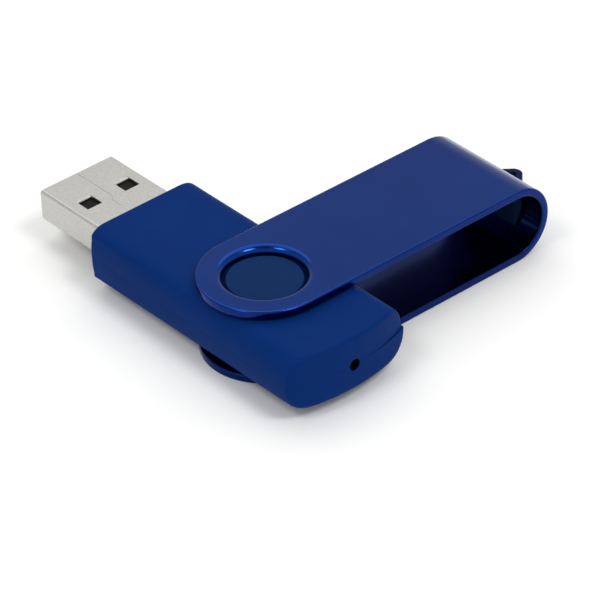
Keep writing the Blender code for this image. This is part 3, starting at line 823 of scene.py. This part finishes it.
def soft_light(name, from_camera, elevation, size, power):
    """Area light round the object; its azimuth is counted from the camera's."""
    away = direction(CAMERA_AZIMUTH + from_camera, elevation)
    data = bpy.data.lights.new(name, "AREA")
    data.shape = "RECTANGLE"
    data.size = size[0]
    data.size_y = size[1]
    data.energy = power
    item = bpy.data.objects.new(name, data)
    item.location = away * LIGHT_DISTANCE
    item.rotation_mode = "QUATERNION"
    item.rotation_quaternion = away.to_track_quat("Z", "Y")
    bpy.context.scene.collection.objects.link(item)


def make_camera():
    azimuth = math.radians(CAMERA_AZIMUTH)
    roll = math.radians(CAMERA_ROLL)
    back = direction(CAMERA_AZIMUTH, CAMERA_ELEVATION)
    right = Vector((math.cos(azimuth), math.sin(azimuth), 0.0))
    up = back.cross(right)
    turned_right = right * math.cos(roll) + up * math.sin(roll)
    turned_up = up * math.cos(roll) - right * math.sin(roll)
    data = bpy.data.cameras.new("camera")
    data.sensor_width = 36.0
    data.lens = CAMERA_LENS
    data.clip_start = 0.01
    data.clip_end = 10.0
    camera = bpy.data.objects.new("camera", data)
    axes = Matrix((turned_right, turned_up, back)).transposed().to_4x4()
    camera.matrix_world = Matrix.Translation(PIVOT + CAMERA_TARGET + back * CAMERA_DISTANCE) @ axes
    bpy.context.scene.collection.objects.link(camera)
    bpy.context.scene.camera = camera


def inner_looks():
    """Materials of the pieces inside the shells, which keep their CAD shapes."""
    looks = {
        "plug_contact_block": simple(
            "block_black", srgb(16, 15, 14), srgb(26, 25, 23), 0.6, specular=0.12),
        "circuit_board": simple("board_mask", srgb(16, 84, 48), srgb(22, 98, 58), 0.4),
        "status_led": simple("led_clear", srgb(210, 214, 216), srgb(228, 230, 232), 0.2),
        "crystal": simple("crystal_metal", srgb(188, 188, 184), srgb(204, 204, 200), 0.3, 1.0),
    }
    gold = simple("contact_gold", srgb(206, 164, 84), srgb(224, 184, 104), 0.25, 1.0)
    epoxy = simple("chip_epoxy", srgb(30, 30, 32), srgb(42, 42, 44), 0.6)
    ceramic = simple("capacitor_ceramic", srgb(150, 118, 84), srgb(170, 136, 98), 0.5)
    glaze = simple("resistor_glaze", srgb(26, 26, 30), srgb(40, 40, 44), 0.35)
    for name in frame["nodes"]:
        if name.startswith("contact_"):
            looks[name] = gold
        elif name.endswith("_chip"):
            looks[name] = epoxy
        elif "capacitor" in name:
            looks[name] = ceramic
        elif "resistor" in name:
            looks[name] = glaze
    return looks


def make_outer_pieces():
    body = plastic("navy_satin", srgb(4, 41, 102), srgb(6, 44, 107), 0.5)
    boss = plastic("navy_boss", srgb(14, 42, 86), srgb(17, 45, 90), 0.55)
    outside = lacquer("navy_clip_lacquer", srgb(10, 51, 126), srgb(15, 55, 134))
    # Painted shade: a darker copy of the clip lacquer on the sheet's cut edges, standing in for the dark
    # edges that reflect the shaded body.
    cut_edge_painted_shade = lacquer(
        "navy_clip_lacquer_edge_painted_shade", srgb(9, 36, 104), srgb(12, 40, 112), (0.75, 0.8, 1.0, 1.0))
    # Painted shade: a darker copy of the clip lacquer on the strip's inner side, standing in for the
    # shade inside the clip.
    inside = lacquer("navy_clip_painted_shade_inside", srgb(6, 32, 84), srgb(9, 36, 92))
    nickel = steel("plug_nickel")
    # Painted shade: near-black on the light hole's wall, standing in for the shade inside the hole.
    hole_shade = plastic("navy_hole_shade", srgb(2, 8, 20), srgb(3, 10, 24), 0.7, specular=0.0)
    make_shell("upper_shell_skin", True, [body, boss, hole_shade])
    make_shell("lower_shell_skin", False, [body, boss, hole_shade])
    make_clip([outside, inside, cut_edge_painted_shade])
    make_loop(plastic("navy_insert", srgb(14, 32, 66), srgb(18, 37, 72), 0.5))
    make_plug(nickel)


def main():
    make_outer_pieces()
    for name, material in inner_looks().items():
        node = frame["nodes"][name]
        node.data.materials.clear()
        node.data.materials.append(material)
    make_floor()
    make_world()
    soft_light(
        "front_left_softbox", from_camera=-52, elevation=57, size=(0.22, 0.22), power=1.1)
    soft_light(
        "front_right_softbox", from_camera=50, elevation=57, size=(0.22, 0.22), power=1.65)
    soft_light(
        "back_softbox", from_camera=180, elevation=66, size=(0.9, 0.7), power=2.35)
    make_camera()
    bpy.context.scene.view_settings.view_transform = "Standard"


main()
